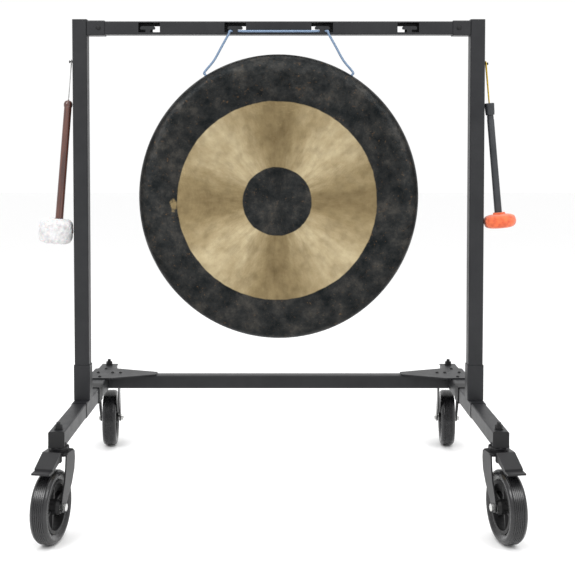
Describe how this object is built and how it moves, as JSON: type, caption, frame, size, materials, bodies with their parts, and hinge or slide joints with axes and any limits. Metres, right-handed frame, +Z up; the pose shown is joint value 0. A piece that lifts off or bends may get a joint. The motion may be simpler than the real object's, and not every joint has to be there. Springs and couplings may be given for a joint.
{
  "type": "gong cart",
  "caption": "Rolling stand of black square tube on swivel casters, with a hanging gong on a cord and mallets hung at the uprights.",
  "frame": {"origin": "on the floor, under the middle of the bounding box", "axes": "+Z up; -Y towards the front, which the gong faces; +X to the right seen from the front"},
  "size_m": [1.4842, 1.2174, 1.478],
  "materials": {
    "frame_black": "satin powder coat",
    "cap_black": "matte",
    "caster_black": "satin",
    "tyre": "glossy rubber",
    "hub": "matte",
    "zinc": "bright",
    "gong_bronze": "hammered and brushed, dark patina outside and in the centre",
    "rope_blue": "braided",
    "string_grey": "twisted",
    "cord_yellow": "braided",
    "mallet_wood": "varnished",
    "mallet_fleece": "fleece",
    "mallet_black": "satin",
    "mallet_orange": "felt"
  },
  "bodies": {
    "frame": {"base_rail_left": "frame_black", "base_rail_right": "frame_black", "base_sleeve_left": "frame_black", "base_sleeve_right": "frame_black", "corner_plate_left": "frame_black", "corner_plate_right": "frame_black", "front_leg_left": "frame_black", "front_leg_right": "frame_black", "gong_cord_run": "rope_blue", "kingpin_front_left": "caster_black", "kingpin_front_right": "caster_black", "kingpin_rear_left": "caster_black", "kingpin_rear_right": "caster_black", "leg_cap_left": "cap_black", "leg_cap_right": "cap_black", "lower_crossbar": "frame_black", "mallet_peg_left": "cap_black", "mallet_peg_right": "cap_black", "rail_cap_left": "cap_black", "rail_cap_right": "cap_black", "rail_collar_left": "cap_black", "rail_collar_right": "cap_black", "stub_screw_left": "cap_black", "stub_screw_right": "cap_black", "top_crossbar": "frame_black", "top_stub_left": "frame_black", "top_stub_right": "frame_black", "upright_cap_left": "cap_black", "upright_cap_right": "cap_black", "upright_left": "frame_black", "upright_right": "frame_black"},
    "swivel_front_left": {"fork_front_left": "caster_black", "axle_front_left": "zinc"},
    "wheel_front_left": {"tyre_front_left": "tyre", "hub_front_left": "hub"},
    "swivel_front_right": {"fork_front_right": "caster_black", "axle_front_right": "zinc"},
    "wheel_front_right": {"tyre_front_right": "tyre", "hub_front_right": "hub"},
    "swivel_rear_left": {"fork_rear_left": "caster_black", "axle_rear_left": "zinc"},
    "wheel_rear_left": {"tyre_rear_left": "tyre", "hub_rear_left": "hub"},
    "swivel_rear_right": {"fork_rear_right": "caster_black", "axle_rear_right": "zinc"},
    "wheel_rear_right": {"tyre_rear_right": "tyre", "hub_rear_right": "hub"},
    "pedal_front_left": {"brake_pedal_front_left": "caster_black"},
    "pedal_front_right": {"brake_pedal_front_right": "caster_black"},
    "gong_body": {"gong": "gong_bronze", "gong_cord_left": "rope_blue", "gong_cord_right": "rope_blue"},
    "mallet_left": {"mallet_left_string": "string_grey", "mallet_left_handle": "mallet_wood", "mallet_left_head": "mallet_fleece"},
    "mallet_right": {"mallet_right_cord": "cord_yellow", "mallet_right_cap": "mallet_black", "mallet_right_handle": "mallet_black", "mallet_right_head": "mallet_orange"}
  },
  "joints": [
    {"name": "swivel_front_left", "type": "hinge", "parent": "frame", "child": "swivel_front_left", "pos_m": [-0.60653, -0.45153, 0.243], "axis": [0, 0, 1], "continuous": true},
    {"name": "spin_front_left", "type": "hinge", "parent": "swivel_front_left", "child": "wheel_front_left", "pos_m": [-0.6166, -0.50865, 0.1], "axis": [0.9848, -0.1736, 0], "continuous": true},
    {"name": "brake_front_left", "type": "hinge", "parent": "swivel_front_left", "child": "pedal_front_left", "pos_m": [-0.61452, -0.49683, 0.228], "axis": [0.9848, -0.1736, 0], "range_deg": [0, 8]},
    {"name": "swivel_front_right", "type": "hinge", "parent": "frame", "child": "swivel_front_right", "pos_m": [0.61847, -0.45153, 0.243], "axis": [0, 0, 1], "continuous": true},
    {"name": "spin_front_right", "type": "hinge", "parent": "swivel_front_right", "child": "wheel_front_right", "pos_m": [0.62854, -0.50865, 0.1], "axis": [0.9848, 0.1736, 0], "continuous": true},
    {"name": "brake_front_right", "type": "hinge", "parent": "swivel_front_right", "child": "pedal_front_right", "pos_m": [0.62646, -0.49683, 0.228], "axis": [0.9848, 0.1736, 0], "range_deg": [0, 8]},
    {"name": "swivel_rear_left", "type": "hinge", "parent": "frame", "child": "swivel_rear_left", "pos_m": [-0.60763, 0.45047, 0.243], "axis": [0, 0, 1], "continuous": true},
    {"name": "spin_rear_left", "type": "hinge", "parent": "swivel_rear_left", "child": "wheel_rear_left", "pos_m": [-0.61198, 0.50831, 0.1], "axis": [-0.9972, -0.075, 0], "continuous": true},
    {"name": "swivel_rear_right", "type": "hinge", "parent": "frame", "child": "swivel_rear_right", "pos_m": [0.61957, 0.45047, 0.243], "axis": [0, 0, 1], "continuous": true},
    {"name": "spin_rear_right", "type": "hinge", "parent": "swivel_rear_right", "child": "wheel_rear_right", "pos_m": [0.62392, 0.50831, 0.1], "axis": [-0.9972, 0.075, 0], "continuous": true},
    {"name": "gong_swing", "type": "hinge", "parent": "frame", "child": "gong_body", "pos_m": [0.00597, -0.10403, 1.4345], "axis": [1, 0, 0], "range_deg": [-15, 15]},
    {"name": "mallet_left_swing", "type": "hinge", "parent": "frame", "child": "mallet_left", "pos_m": [-0.63403, -0.07953, 1.35], "axis": [0, 1, 0], "range_deg": [0, 35]},
    {"name": "mallet_right_swing", "type": "hinge", "parent": "frame", "child": "mallet_right", "pos_m": [0.64597, -0.07953, 1.344], "axis": [0, -1, 0], "range_deg": [0, 25]}
  ]
}
